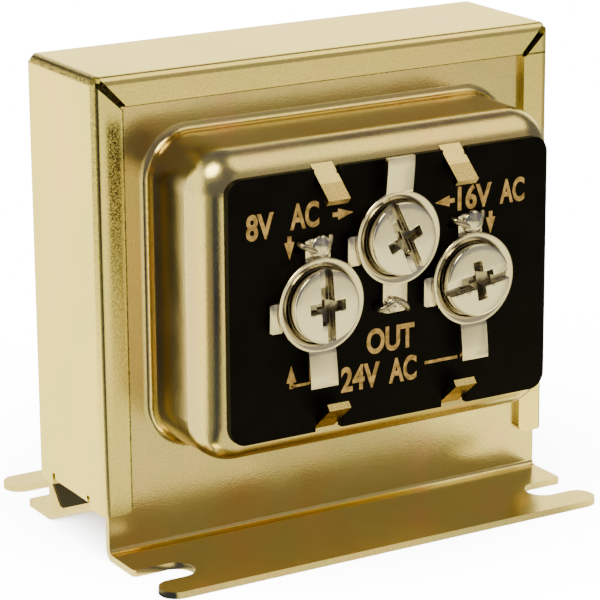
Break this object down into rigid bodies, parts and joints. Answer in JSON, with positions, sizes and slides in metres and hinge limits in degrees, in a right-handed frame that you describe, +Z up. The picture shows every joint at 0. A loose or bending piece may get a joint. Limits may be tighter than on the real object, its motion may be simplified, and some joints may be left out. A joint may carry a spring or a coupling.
{
  "type": "multi-voltage transformer",
  "caption": "Foot-mounted bell transformer: folded strap, two drawn covers with slotted feet, and a terminal board with three screw terminals.",
  "frame": {"origin": "on the ground, at the middle of the four foot slots", "axes": "+Z up out of the feet, terminals face -Y, +X along the width to the right of the terminals"},
  "size_m": [0.059, 0.0455, 0.055],
  "materials": {
    "plated_sheet": "yellow-passivated zinc, satin",
    "tinned_metal": "bright plated",
    "board": "black laminate",
    "core_steel": "varnished laminations",
    "bobbin_nylon": "moulded",
    "copper_wire": "enamelled",
    "winding_paper": "varnished",
    "fish_paper": "black fibre",
    "solder": "soft solder",
    "bush_nylon": "moulded black"
  },
  "bodies": {
    "root": {"housing_strap": "plated_sheet", "front_cover": "plated_sheet", "rear_cover": "plated_sheet", "e_laminations": "core_steel", "i_laminations": "core_steel", "bobbin": "bobbin_nylon", "primary_winding": "copper_wire", "interwinding_paper": "winding_paper", "secondary_winding": "copper_wire", "outer_wrap": "winding_paper", "front_liner": "fish_paper", "rear_liner": "fish_paper", "terminal_board": "board", "terminal_left": "tinned_metal", "terminal_centre": "tinned_metal", "terminal_right": "tinned_metal", "screw_left": "tinned_metal", "screw_centre": "tinned_metal", "screw_right": "tinned_metal", "secondary_lead_left": "copper_wire", "secondary_lead_centre": "copper_wire", "secondary_lead_right": "copper_wire", "solder_joint_left": "solder", "solder_joint_centre": "solder", "solder_joint_right": "solder", "rear_lead_bush": "bush_nylon"}
  },
  "joints": []
}
